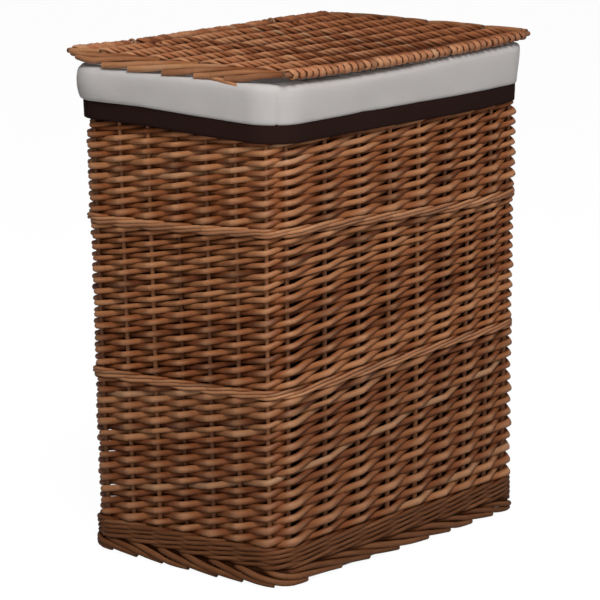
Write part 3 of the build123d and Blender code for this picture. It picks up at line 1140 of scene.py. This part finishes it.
@dataclass
class Lid:
    """The lid: sticks along its length, weavers across them and twined ends, all slightly bent.

    An end rod's way is how far out of the lid's end and how high it lies, step by step. Corner and stray
    turns are a rod's places out of the end, along the end and up. All three are in millimetres.
    """

    length: float = 448 * MM
    stick_reach: float = 146.5 * MM
    level: float = 549.1 * MM
    thickness: float = 15 * MM
    inner_sticks: int = 7
    stick_steps: int = 18
    outer_radius: float = 2.7 * MM
    inner_radius: float = 2.4 * MM
    weaver_radius: float = 2.25 * MM
    weavers: int = 76
    weave_gap: float = 9 * MM
    overhang: float = 1 * MM
    hinge_x: float = HINGE_X
    back_shift: float = 3.75 * MM
    front_shift: float = -0.5 * MM
    back_scale: float = 1.0056
    front_taper: float = 0.0389
    curl: float = 4.5 * MM
    curl_left: float = 50 * MM
    curl_left_run: float = 175 * MM
    curl_back: float = -20 * MM
    curl_back_run: float = 170 * MM
    front_sag: float = 2.7 * MM
    front_bow: float = 4.0 * MM
    right_rise: float = 2.6 * MM
    end_width: float = 14 * MM
    end_overrun: float = 2 * MM
    end_rods: int = 11
    end_radii: tuple[float, float] = (3.4, 3.9)
    end_spacing: float = 41 * MM
    end_run: float = 112 * MM
    end_lead: float = 0.62
    end_least: float = 50 * MM
    end_way: tuple[tuple[float, float], ...] = (
        (5.6, -9.0), (5.4, -6.8), (3.6, -3.4), (-0.4, -0.8), (-4.5, 0.6), (-10.0, 1.2),
    )
    corner_run: float = 40 * MM
    corner_inset: float = 3.0
    corner_height: float = 0.3
    corner_turns: tuple[Place, ...] = (
        (-7.0, -38.0, 2.6), (-3.0, -18.0, 1.8), (-1.0, -4.0, 0.4),
        (-5.0, 4.5, -0.6), (-14.0, 5.6, -0.4), (-26.0, 3.0, 0.4),
    )
    stray_turns: tuple[Place, ...] = (
        (2.0, -34, -6.0), (5.0, -56, -9.0), (6.5, -74, -11.5), (7.5, -92, -15.0),
    )
    edge_rod_radius: float = 2.9 * MM
    rod_parts: int = 4

    def warp(self, point: Vector) -> Vector:
        """Moves a point with the lid's bends.

        The lid is a little narrower in front and out of true along X, its front edge sags in the middle, and
        its back left corner curls.
        """
        forward = 0.5 - point.y / (2 * self.stick_reach)
        left = share_of(-point.x, self.curl_left, self.curl_left_run)
        back = share_of(point.y, self.curl_back, self.curl_back_run)
        sag = self.front_sag - self.front_bow * (2 * point.x / self.length) ** 2
        lift = self.curl * left ** 3 * back ** 2 - sag * forward
        shift = self.back_shift + (self.front_shift - self.back_shift) * forward
        scale = self.back_scale - self.front_taper * forward
        return Vector((point.x * scale + shift, point.y, point.z + lift))

    def proud(self, points: np.ndarray) -> np.ndarray:
        """How far each point stands out of the panel, above, below or at its edges."""
        level = np.abs(points[:, 2] - self.level) / (self.thickness / 2)
        edge = (np.abs(points[:, 1]) - self.stick_reach) / (self.thickness / 2)
        end = (np.abs(points[:, 0]) - self.length / 2 + self.end_width) / self.end_width
        return np.maximum(np.maximum(level * 1.25 - 0.45, edge), end)

    def stick_lines(self) -> list[float]:
        """Where the sticks lie along Y, front to back."""
        step = 2 * self.stick_reach / (self.inner_sticks + 1)
        return [step * i - self.stick_reach for i in range(self.inner_sticks + 2)]

    def sticks(self) -> None:
        """The sticks, whose ends show at both ends of the lid."""
        front, *inner, back = self.stick_lines()
        groups = {"lid_front_stick": [front], "lid_inner_sticks": inner, "lid_back_stick": [back]}
        for seed, (name, places) in enumerate(groups.items()):
            bundle = Bundle(name, 700 + seed)
            between = places is inner
            radius = self.inner_radius if between else self.outer_radius
            reach = self.length / 2 + (-self.weave_gap if between else self.overhang)
            for y in places:
                points = stick_points(reach, y, self.level, self.stick_steps)
                bundle.add([self.warp(point) for point in points], [radius] * len(points))
            settle(bundle.build(STAKE_WILLOW, self.proud), "lid", name)

    def hinge_gaps(self) -> tuple[float, ...]:
        """Where the weave leaves room for the hinge loops, before the lid is bent."""
        return tuple((x - self.back_shift) / self.back_scale for x in (-self.hinge_x, self.hinge_x))

    def weave(self) -> None:
        """The weavers across the sticks."""
        panel = SquareWork(
            "lid_weave", self.stick_lines(), self.level, self.length / 2 - self.weave_gap, self.weavers,
            self.weaver_radius, self.outer_radius, self.inner_radius, 71, self.hinge_gaps(),
        )
        bundle = panel.weaver_lines(self.warp)
        settle(bundle.build(TOP_LIT_LID_WILLOW, self.proud), "lid", "lid_weave")

    def ends(self) -> None:
        """The rods along both ends: each starts outside, climbs over the end and dives under the next."""
        reach = self.stick_reach + self.end_overrun
        last = len(self.end_way) - 1
        for side, name in ((-1, "lid_left_pairing"), (1, "lid_right_pairing")):
            bundle = Bundle(name, 80 + side)
            for i in range(self.end_rods):
                radius = bundle.chance.uniform(*self.end_radii) * MM
                length = self.end_run * bundle.chance.uniform(0.9, 1.1)
                stray = bundle.chance.uniform(-6, 6) * MM
                start = reach + self.end_run * self.end_lead - self.end_spacing * i + stray
                knots = []
                for step, (out, up) in enumerate(self.end_way):
                    y = start - length * step / last
                    near = share_of(reach - abs(y), 0.0, self.corner_run)
                    knots.append(self._end_knot(side, y, near, out, up))
                line = [point for point in smooth_line(knots, self.rod_parts) if abs(point.y) <= reach]
                points = [self.warp(point) for point in line]
                if len(points) > 1 and (points[0] - points[-1]).length > self.end_least:
                    bundle.add(points, [radius * (1 - 0.01 * k) for k in range(len(points))])
            self._edge_rod(bundle, side, self.stick_reach, self.corner_turns)
            if side < 0:
                self._edge_rod(bundle, side, 0.0, self.stray_turns)
            settle(bundle.build(END_WILLOW, self.proud), "lid", name)

    def _end_knot(self, side: int, y: float, near: float, out: float, up: float) -> Vector:
        """A point of an end rod, drawn in and flattened towards the corners, where near is 0."""
        out = out * near - self.corner_inset * (1 - near)
        up = up * (self.corner_height + (1 - self.corner_height) * near)
        rise = self.right_rise if side > 0 else 0.0
        return Vector((side * (self.length / 2 + out * MM), y, self.level + up * MM + rise))

    def _edge_rod(self, bundle: Bundle, side: int, start: float, turns: Sequence[Place]) -> None:
        """Adds a rod beside an end: one round the back corner, or one that has come loose.

        Args:
            bundle: The end's rods.
            side: 1 at the right end, -1 at the left.
            start: The place along Y that the turns count from.
            turns: The rod's places, out of the end, along Y and up.
        """
        end = self.length / 2
        knots = [Vector((side * (end + x * MM), start + y * MM, self.level + z * MM)) for x, y, z in turns]
        points = [self.warp(point) for point in smooth_line(knots, self.rod_parts)]
        bundle.add(points, [self.edge_rod_radius] * len(points))

    def build(self) -> None:
        """Makes every piece of the lid."""
        self.sticks()
        self.weave()
        self.ends()


@dataclass
class Base:
    """The base of square work, resting on the foot border's ledge."""

    wall: Wall
    level: float = 22 * MM
    half_length: float = 190 * MM
    stick_reach: float = 193 * MM
    stick_pitch: float = 32 * MM
    stick_count: int = 7
    stick_steps: int = 12
    stick_radius: float = 3.2 * MM
    weavers: int = 56
    weaver_radius: float = 2.9 * MM
    proud_reach: float = 10 * MM

    def lines(self) -> list[float]:
        """Where the sticks lie along Y."""
        middle = (self.stick_count - 1) / 2
        return [self.stick_pitch * (i - middle) for i in range(self.stick_count)]

    def lean(self, point: Vector) -> Vector:
        """Moves a point with the basket's lean."""
        return point + Vector((self.wall.shift(self.level), 0, 0))

    def proud(self, points: np.ndarray) -> np.ndarray:
        """The base is rubbed only where its weave stands out underneath; from its middle upwards it takes
        the painted shade of the recesses.
        """
        return (self.level - points[:, 2]) / self.proud_reach

    def build(self) -> None:
        """Makes the base's sticks and weavers."""
        sticks = Bundle("base_sticks", 61)
        for y in self.lines():
            points = stick_points(self.stick_reach, y, self.level, self.stick_steps)
            sticks.add([self.lean(point) for point in points], [self.stick_radius] * len(points))
        settle(sticks.build(STAKE_WILLOW, self.proud), "basket", "base_sticks")
        panel = SquareWork(
            "base_weave", self.lines(), self.level, self.half_length, self.weavers, self.weaver_radius,
            self.stick_radius, self.stick_radius, 62,
        )
        weave = panel.weaver_lines(self.lean)
        settle(weave.build(WILLOW, self.proud), "basket", "base_weave")


@dataclass
class Liner:
    """The cotton liner: a bag inside the walls, a cuff folded over the rim and a dark hem band.

    The cuff's and the hem's profiles are distances out of the wall's middle and heights, in millimetres. The
    rim's places are along X at the front, each with how far the cuff's top edge lies above level.
    """

    wall: Wall
    cloth: float = 1.0 * MM
    columns: int = 260
    column_room: float = 1.5 * MM
    inset: float = 3.25 * MM
    bag_out: float = -14.1 * MM
    bag_low: float = 30.3 * MM
    bag_top: float = 534 * MM
    bag_levels: int = 30
    bag_floor: tuple[float, float] = (376 * MM, 218 * MM)
    bag_floor_drop: float = 100 * MM
    floor_rings: tuple[float, ...] = (0.9, 0.6, 0.3)
    hinge_x: float = HINGE_X
    slit_half_width: float = 5 * MM
    slit_low: float = 505 * MM
    seam_width: float = 1.1 * MM
    seam_depth: float = 2.2 * MM
    right_ease: float = 2.2 * MM
    left_bulge: float = 4.0 * MM
    hem_lift: float = 5.0 * MM
    hem_dip: float = 1.8 * MM
    hem_level: float = 498 * MM
    cuff_fullness: float = 60 * MM
    hem_fullness: float = 50 * MM
    rim_places: tuple[float, ...] = (-200 * MM, -110 * MM, -14 * MM, 82 * MM, 180 * MM)
    rim_moves: tuple[float, ...] = (-0.5 * MM, -3.5 * MM, -3.5 * MM, -0.5 * MM, 1.0 * MM)
    cuff_profile: tuple[tuple[float, float], ...] = (
        (-13.4, 523.0), (-13.2, 529.0), (-12.9, 534.0), (-11.6, 538.0), (-8.5, 539.2), (-3.0, 539.5),
        (3.0, 539.4), (8.4, 539.0), (11.8, 537.8), (13.6, 535.2), (14.2, 531.5), (14.3, 527.0),
        (14.2, 522.5), (14.0, 518.0), (13.7, 513.5), (13.4, 509.0), (13.1, 505.0), (12.8, 501.5),
        (12.5, 499.0), (11.8, 497.8), (11.2, 498.2),
    )
    hem_profile: tuple[tuple[float, float], ...] = (
        (11.0, 500.0), (11.1, 497.0), (11.2, 494.0), (11.2, 490.0), (11.1, 485.0), (11.0, 480.5),
        (11.0, 478.4), (10.6, 477.6), (10.2, 479.0),
    )

    def seams(self) -> list[float]:
        """The distances along the wall of the four corner seams."""
        starts = []
        at = 0.0
        for run in self.wall.runs:
            starts.append(at + run + self.wall.corner_run / 2)
            at += run + self.wall.corner_run
        return starts

    def slits(self) -> list[float]:
        """The distances along the wall of the two hinge slits, at the back."""
        lean = self.wall.rim_shift
        return [self.wall.locate(x - lean, self.wall.wall_y) for x in (self.hinge_x, -self.hinge_x)]

    def columns_round(self) -> list[float]:
        """Distances along the wall for the cloth's columns, closer at the seams and the slits' edges."""
        plain = [self.wall.round * i / self.columns for i in range(self.columns)]
        extra = []
        for seam in self.seams():
            extra += [seam + self.seam_width * k / 2 for k in (-2, -1, 0, 1, 2)]
        for slit in self.slits():
            extra += [slit - self.slit_half_width, slit + self.slit_half_width]
        kept = [at for at in plain if all(abs(at - place) > self.column_room for place in extra)]
        return sorted(kept + extra)

    def sheet(
        self, name: str, profile: Sequence[tuple[float, float]], finish: CottonFinish, ripple: Ripple,
        painted_shade_side: Optional[CottonFinish] = None,
    ) -> bpy.types.Object:
        """Makes a ring of cloth by extruding its edge up a profile.

        Args:
            name: The piece.
            profile: Distances out of the wall's middle and heights, from the cloth's first edge to its last.
            finish: The cloth's finish.
            ripple: Gives a point's move out and up, from its distance along the wall, its height and its
                place on the profile, 0 to 1.
            painted_shade_side: A dark finish for a bag's outer side, painted shade where the walls' gaps
                show it; with it, the first edge is closed by a floor.

        Returns:
            The piece, one cloth thick.
        """
        bm = bmesh.new()
        flat = bm.loops.layers.uv.new("UVMap")
        across = bm.verts.layers.float.new("across")
        down = bm.verts.layers.float.new("down")
        lines = self.columns_round()
        ring = [bm.verts.new(self._point(line, profile[0], 0.0, ripple)) for line in lines]
        for vert, line in zip(ring, lines):
            vert[across] = line
        edges = [bm.edges.new((ring[i], ring[(i + 1) % len(ring)])) for i in range(len(ring))]
        if painted_shade_side:
            self._floor(bm, edges)
        travel = 0.0
        for step in range(1, len(profile)):
            ring, edges = next_ring(bm, edges)
            travel += math.dist(profile[step], profile[step - 1])
            for vert in ring:
                vert.co = self._point(vert[across], profile[step], step / (len(profile) - 1), ripple)
                vert[down] = travel
        bmesh.ops.recalc_face_normals(bm, faces=bm.faces[:])
        half = self.wall.round / 2
        for face in bm.faces:
            face.smooth = True
            places = [vert[across] for vert in face.verts]
            wraps = max(places) - min(places) > half
            for loop in face.loops:
                turn = self.wall.round if wraps and loop.vert[across] < half else 0.0
                loop[flat].uv = (loop.vert[across] + turn, loop.vert[down])
        mesh = bpy.data.meshes.new(name + "_cloth")
        bm.to_mesh(mesh)
        bm.free()
        for side in (painted_shade_side, finish) if painted_shade_side else (finish,):
            mesh.materials.append(finished(side))
        piece = placed(mesh.name, mesh)
        thick = piece.modifiers.new("cloth", "SOLIDIFY")
        thick.thickness = self.cloth
        thick.offset = 0.0
        thick.material_offset = len(mesh.materials) - 1
        return piece

    def _point(self, line: float, place: tuple[float, float], share: float, ripple: Ripple) -> Vector:
        """A point of the cloth, with its ripple."""
        out, z = place
        out_move, up_move = ripple(line, z, share)
        return self.wall.place(line, z + up_move, out + out_move - self.inset)

    def _floor(self, bm: bmesh.types.BMesh, edges: list[bmesh.types.BMEdge]) -> None:
        """Closes the bag's lower edge with a floor in rings that draw in to the middle."""
        outer = 1.0
        for share in self.floor_rings:
            ring, edges = next_ring(bm, edges)
            bmesh.ops.scale(bm, vec=Vector((share / outer, share / outer, 1)), verts=ring)
            outer = share
        bmesh.ops.edgeloop_fill(bm, edges=edges)

    def _dents(self, line: float) -> float:
        """How far the cloth is drawn in at a corner seam."""
        near = min(abs(line - seam) for seam in self.seams())
        return self.seam_depth * math.exp(-((near / self.seam_width) ** 2))

    def _ease(self, line: float) -> float:
        """How much closer than elsewhere the cuff and the hem lie to the wall: most at the right end."""
        here = self.wall.place(line, 0.5, 0)
        return -self.right_ease * share_of(here.x, 0.15, 0.06)

    def rim_sway(self, line: float) -> float:
        """How far the cuff's top edge lies above level along the front."""
        here = self.wall.place(line, 0.54, 0)
        return float(np.interp(here.x, self.rim_places, self.rim_moves)) * share_of(-here.y, 0.10, 0.03)

    def hem_sway(self, line: float) -> float:
        """How far the hem lies above level along the wall: highest at the left, and low in front."""
        here = self.wall.place(line, 0.5, 0)
        left = share_of(-here.x, 0.17, 0.04) * share_of(here.y, -0.11, 0.15)
        front = math.exp(-(((here.x - 0.10) / 0.16) ** 2)) if here.y < -0.12 else 0.0
        return self.hem_lift * left ** 1.2 - self.hem_dip * front

    def _bag_ripple(self, line: float, z: float, share: float) -> tuple[float, float]:
        """The bag's slack against the walls, none at its edges."""
        here = self.wall.place(line, z, 0)
        slack = noise.noise(Vector((here.x * 14, here.y * 14, z * 3))) * 2.2 * MM
        fine = noise.noise(Vector((here.x * 40, here.y * 40, z * 16 + 7))) * 0.8 * MM
        return (slack + fine) * math.sin(math.pi * share) ** 0.5, 0.0

    def _cuff_ripple(self, line: float, z: float, share: float) -> tuple[float, float]:
        """The slack, drag and puckers of the cuff's skirt, its seams, and its bulge at the left."""
        here = self.wall.place(line, z, 0)
        skirt = share_of(share, 0.45, 0.3)
        slack = noise.noise(Vector((here.x * 11, here.y * 11, z * 9))) * 1.5 * MM
        drag = noise.noise(Vector((here.x * 30 + z * 22, here.y * 30, z * 26 + 3))) * 1.1 * MM
        pucker = noise.noise(Vector((line * 150, 0, 5))) * 0.30 * MM * share_of(share, 0.85, 0.15)
        left = share_of(-here.x, 0.15, 0.06) * share_of(here.y, 0.02, 0.1)
        bulge = self.left_bulge * left * math.sin(math.pi * share_of(share, 0.4, 0.6))
        out = (slack + drag + pucker - self._dents(line) + self._ease(line)) * skirt + bulge
        return out, self.hem_sway(line) * skirt + self.rim_sway(line) * (1 - skirt)

    def _hem_ripple(self, line: float, z: float, share: float) -> tuple[float, float]:
        """The hem's slack, which it shares with the cuff above, its waves and its uneven lower edge."""
        here = self.wall.place(line, z, 0)
        slack = noise.noise(Vector((here.x * 11, here.y * 11, self.hem_level * 9))) * 1.5 * MM
        wave = noise.noise(Vector((line * 12, 3, share * 2))) * 0.5 * MM
        edge = noise.noise(Vector((line * 9, 11, 0))) * 1.0 * MM * share
        out = slack * (1 - 0.6 * share) + wave * share - self._dents(line) * 0.6 + self._ease(line)
        return out, self.hem_sway(line) + edge

    @staticmethod
    def _length(profile: Sequence[tuple[float, float]]) -> float:
        """How long a profile is from its first point to its last."""
        return sum(math.dist(here, ahead) for here, ahead in zip(profile, profile[1:]))

    def bag(self) -> None:
        """The bag inside, a little slack against the walls, white within; its dark brown outer side is
        painted shade for what shows through the gaps in the weave.
        """
        height = self.bag_top - self.bag_low
        levels = [self.bag_low + height * k / self.bag_levels for k in range(self.bag_levels + 1)]
        profile = [(self.bag_out, level) for level in levels]
        piece = self.sheet("liner_bag", profile, WHITE_COTTON, self._bag_ripple, BROWN_COTTON)
        settle(piece, "basket", "liner_bag")
        width = self.wall.round
        floor_length, floor_depth = self.bag_floor
        width * height + floor_length * floor_depth

    def cuff(self) -> None:
        """The cuff, from inside the rim over the border and down to the hem."""
        profile = [(out * MM, z * MM) for out, z in self.cuff_profile]
        piece = self.sheet("liner_cuff", profile, WHITE_COTTON, self._cuff_ripple)
        self._cut_slits(piece)
        settle(piece, "basket", "liner_cuff")
        self.wall.round + self.cuff_fullness

    def hem(self) -> None:
        """The dark band sewn round the cuff's lower edge."""
        profile = [(out * MM, z * MM) for out, z in self.hem_profile]
        piece = self.sheet("hem_band", profile, BROWN_COTTON, self._hem_ripple)
        settle(piece, "basket", "hem_band")
        self.wall.round + self.hem_fullness

    def _cut_slits(self, piece: bpy.types.Object) -> None:
        """Cuts the slits that the hinge loops come through."""
        bm = bmesh.new()
        bm.from_mesh(piece.data)
        doomed = []
        for face in bm.faces:
            middle = face.calc_center_median()
            near = abs(abs(middle.x) - self.hinge_x) < self.slit_half_width
            outer = self.wall.depth(np.array([middle]))[0]
            if near and middle.y > 0.1 and outer > -4 * MM and middle.z > self.slit_low:
                doomed.append(face)
        bmesh.ops.delete(bm, geom=doomed, context="FACES")
        bm.to_mesh(piece.data)
        bm.free()

    def build(self) -> None:
        """Makes the liner's three pieces."""
        self.bag()
        self.cuff()
        self.hem()


def dress_hinges() -> None:
    """Gives the two hinge loops, whose shape is right, their cane."""
    for name in ("hinge_loop_left", "hinge_loop_right"):
        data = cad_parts[name].data
        data.materials.clear()
        data.materials.append(finished(CaneFinish()))
        LOG.info("%s: dressed as it is", name)


@dataclass(frozen=True)
class Lamp:
    """A soft square lamp."""

    name: str
    place: Place
    size: float
    power: float

    def hang(self, aim: Vector) -> None:
        """Hangs the lamp in its place and turns it to its aim."""
        data = bpy.data.lights.new(self.name, "AREA")
        data.size = self.size
        data.energy = self.power
        lamp = placed(self.name, data)
        lamp.location = self.place
        lamp.rotation_mode = "QUATERNION"
        lamp.rotation_quaternion = (aim - lamp.location).to_track_quat("-Z", "Y")


@dataclass
class Studio:
    """The floor, the light and the camera.

    Within the footprint, a rounded oblong under the basket, the floor doesn't glow.
    """

    camera_place: Vector = field(default_factory=lambda: Vector((-2.8462, -2.2843, 1.0166)))
    camera_aim: Vector = field(default_factory=lambda: Vector((0.0, 0.0, 0.2685)))
    lens: float = 200.9
    sensor: float = 36.0
    shift: tuple[float, float] = (-0.00947, -0.00851)
    roll: float = math.radians(-0.153)
    lamp_aim: Vector = field(default_factory=lambda: Vector((0.0, 0.0, 0.3)))
    lamps: tuple[Lamp, ...] = (
        Lamp("key_lamp", (-1.60, -1.74, 3.2), 1.5, 132.0),
        Lamp("fill_lamp", (-2.6, -2.2, 1.2), 1.6, 31.0),
        Lamp("side_lamp", (2.2, -1.8, 1.5), 1.4, 9.0),
    )
    sky: float = 0.14
    floor_size: float = 30.0
    floor_grey: Colour = (0.5, 0.5, 0.5)
    white: float = 0.86
    glow: float = 1.12
    footprint: tuple[float, float] = (0.206, 0.128)
    footprint_power: int = 8
    foot_shift: float = Wall.foot_shift

    def floor(self) -> None:
        """A plain pale floor that keeps the basket's shadow."""
        bm = bmesh.new()
        bmesh.ops.create_grid(bm, x_segments=2, y_segments=2, size=self.floor_size)
        mesh = bpy.data.meshes.new("floor")
        bm.to_mesh(mesh)
        bm.free()
        mesh.materials.append(self._floor_material())
        placed("floor", mesh)

    def _floor_material(self) -> bpy.types.Material:
        """Matt grey that takes the shadow, with a white glow that only the camera sees."""
        shop = Shop("pale_floor")
        shop.set(Base_Color=self.floor_grey, Roughness=0.9, Specular_IOR_Level=0.1)
        place = shop.node("TexCoord").outputs["Object"]
        parts = shop.node("SeparateXYZ", {}, {0: place})
        along, across = (Wire(shop, parts.outputs[i]) for i in (0, 1))
        along = along.math("ABSOLUTE", along - self.foot_shift) * (1 / self.footprint[0])
        across = across.math("ABSOLUTE", across) * (1 / self.footprint[1])
        off = along ** self.footprint_power + across ** self.footprint_power
        rays = shop.node("LightPath")
        seen = Wire(shop, rays.outputs["Is Camera Ray"]) * off.ramp(0.8, 1.0) * self.white
        glow = shop.node("Emission", {}, {"Color": (1, 1, 1, 1), "Strength": self.glow})
        mixed = shop.node("MixShader", {}, {0: seen, 1: shop.surface.outputs[0], 2: glow.outputs[0]})
        shop.feed(shop.tree.nodes["Material Output"].inputs["Surface"], mixed.outputs[0])
        return shop.material

    def world(self) -> None:
        """Soft light from all round, white behind the basket."""
        world = bpy.data.worlds.new("studio")
        world.use_nodes = True
        bpy.context.scene.world = world
        tree = world.node_tree
        back = tree.nodes["Background"]
        back.inputs["Color"].default_value = (1, 1, 1, 1)
        back.inputs["Strength"].default_value = self.sky
        seen = tree.nodes.new("ShaderNodeBackground")
        seen.inputs["Strength"].default_value = 1.0
        rays = tree.nodes.new("ShaderNodeLightPath")
        mixed = tree.nodes.new("ShaderNodeMixShader")
        tree.links.new(rays.outputs["Is Camera Ray"], mixed.inputs[0])
        tree.links.new(back.outputs[0], mixed.inputs[1])
        tree.links.new(seen.outputs[0], mixed.inputs[2])
        tree.links.new(mixed.outputs[0], tree.nodes["World Output"].inputs[0])

    def camera(self) -> None:
        """The camera, at the photograph's view."""
        data = bpy.data.cameras.new("camera")
        data.lens, data.sensor_width = self.lens, self.sensor
        data.shift_x, data.shift_y = self.shift
        data.clip_end = 100.0
        camera = placed("camera", data)
        camera.location = self.camera_place
        camera.rotation_mode = "QUATERNION"
        aim = (self.camera_aim - self.camera_place).to_track_quat("-Z", "Y")
        camera.rotation_quaternion = aim @ Quaternion((0, 0, 1), self.roll)
        bpy.context.scene.camera = camera

    def build(self) -> None:
        """Sets the stage."""
        bpy.context.scene.view_settings.view_transform = "Standard"
        self.floor()
        self.world()
        for lamp in self.lamps:
            lamp.hang(self.lamp_aim)
        self.camera()


def main() -> None:
    """Builds the basket piece by piece and sets the stage."""
    logging.basicConfig(level=logging.INFO, format="%(name)s %(message)s")
    noise.seed_set(NOISE_SEED)
    wall = Wall()
    Walls(wall, Sway(wall)).build()
    Base(wall).build()
    Liner(wall).build()
    Lid().build()
    dress_hinges()
    Studio().build()


if __name__ == "__main__":
    main()
